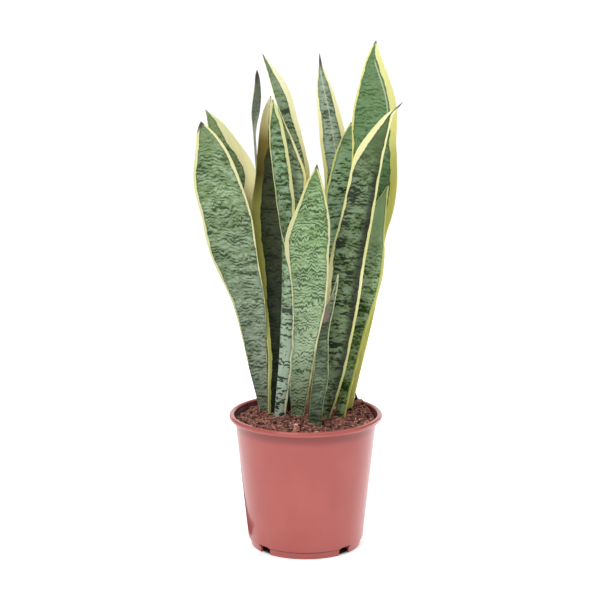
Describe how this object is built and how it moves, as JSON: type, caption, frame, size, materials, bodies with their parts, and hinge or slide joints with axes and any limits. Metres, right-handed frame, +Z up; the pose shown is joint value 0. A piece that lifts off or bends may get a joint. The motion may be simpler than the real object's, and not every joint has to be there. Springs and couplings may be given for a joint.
{
  "type": "potted snake plant",
  "caption": "Snake plant with upright sword-shaped banded leaves with pale yellow margins, in a tapered terracotta-coloured plastic nursery pot with a rolled rim and drain slots in its foot.",
  "frame": {"origin": "centre of the underside of the pot's foot pad, on the surface it stands on", "axes": "+Z up along the pot's axis, -Y towards the front of the plant, +X to the right seen from the front"},
  "size_m": [0.2297, 0.172, 0.565],
  "materials": {
    "pot_plastic": "satin",
    "peat": "crumbly matt",
    "leaf": "waxy satin",
    "rhizome": "matt",
    "dry_sheath": "papery matt"
  },
  "bodies": {
    "root": {"pot": "pot_plastic", "peat": "peat", "leaf_front_left_broad": "leaf", "leaf_back_left_broad": "leaf", "leaf_far_back_narrow": "leaf", "leaf_left_channelled": "leaf", "leaf_left_twisted": "leaf", "leaf_tall_left": "leaf", "leaf_front_centre": "leaf", "leaf_front_small": "leaf", "leaf_back_keeled": "leaf", "leaf_back_centre": "leaf", "leaf_tallest": "leaf", "leaf_front_right": "leaf", "leaf_right_narrow": "leaf", "rhizome_left": "rhizome", "rhizome_centre": "rhizome", "rhizome_right": "rhizome", "dry_sheath": "dry_sheath"}
  },
  "joints": []
}
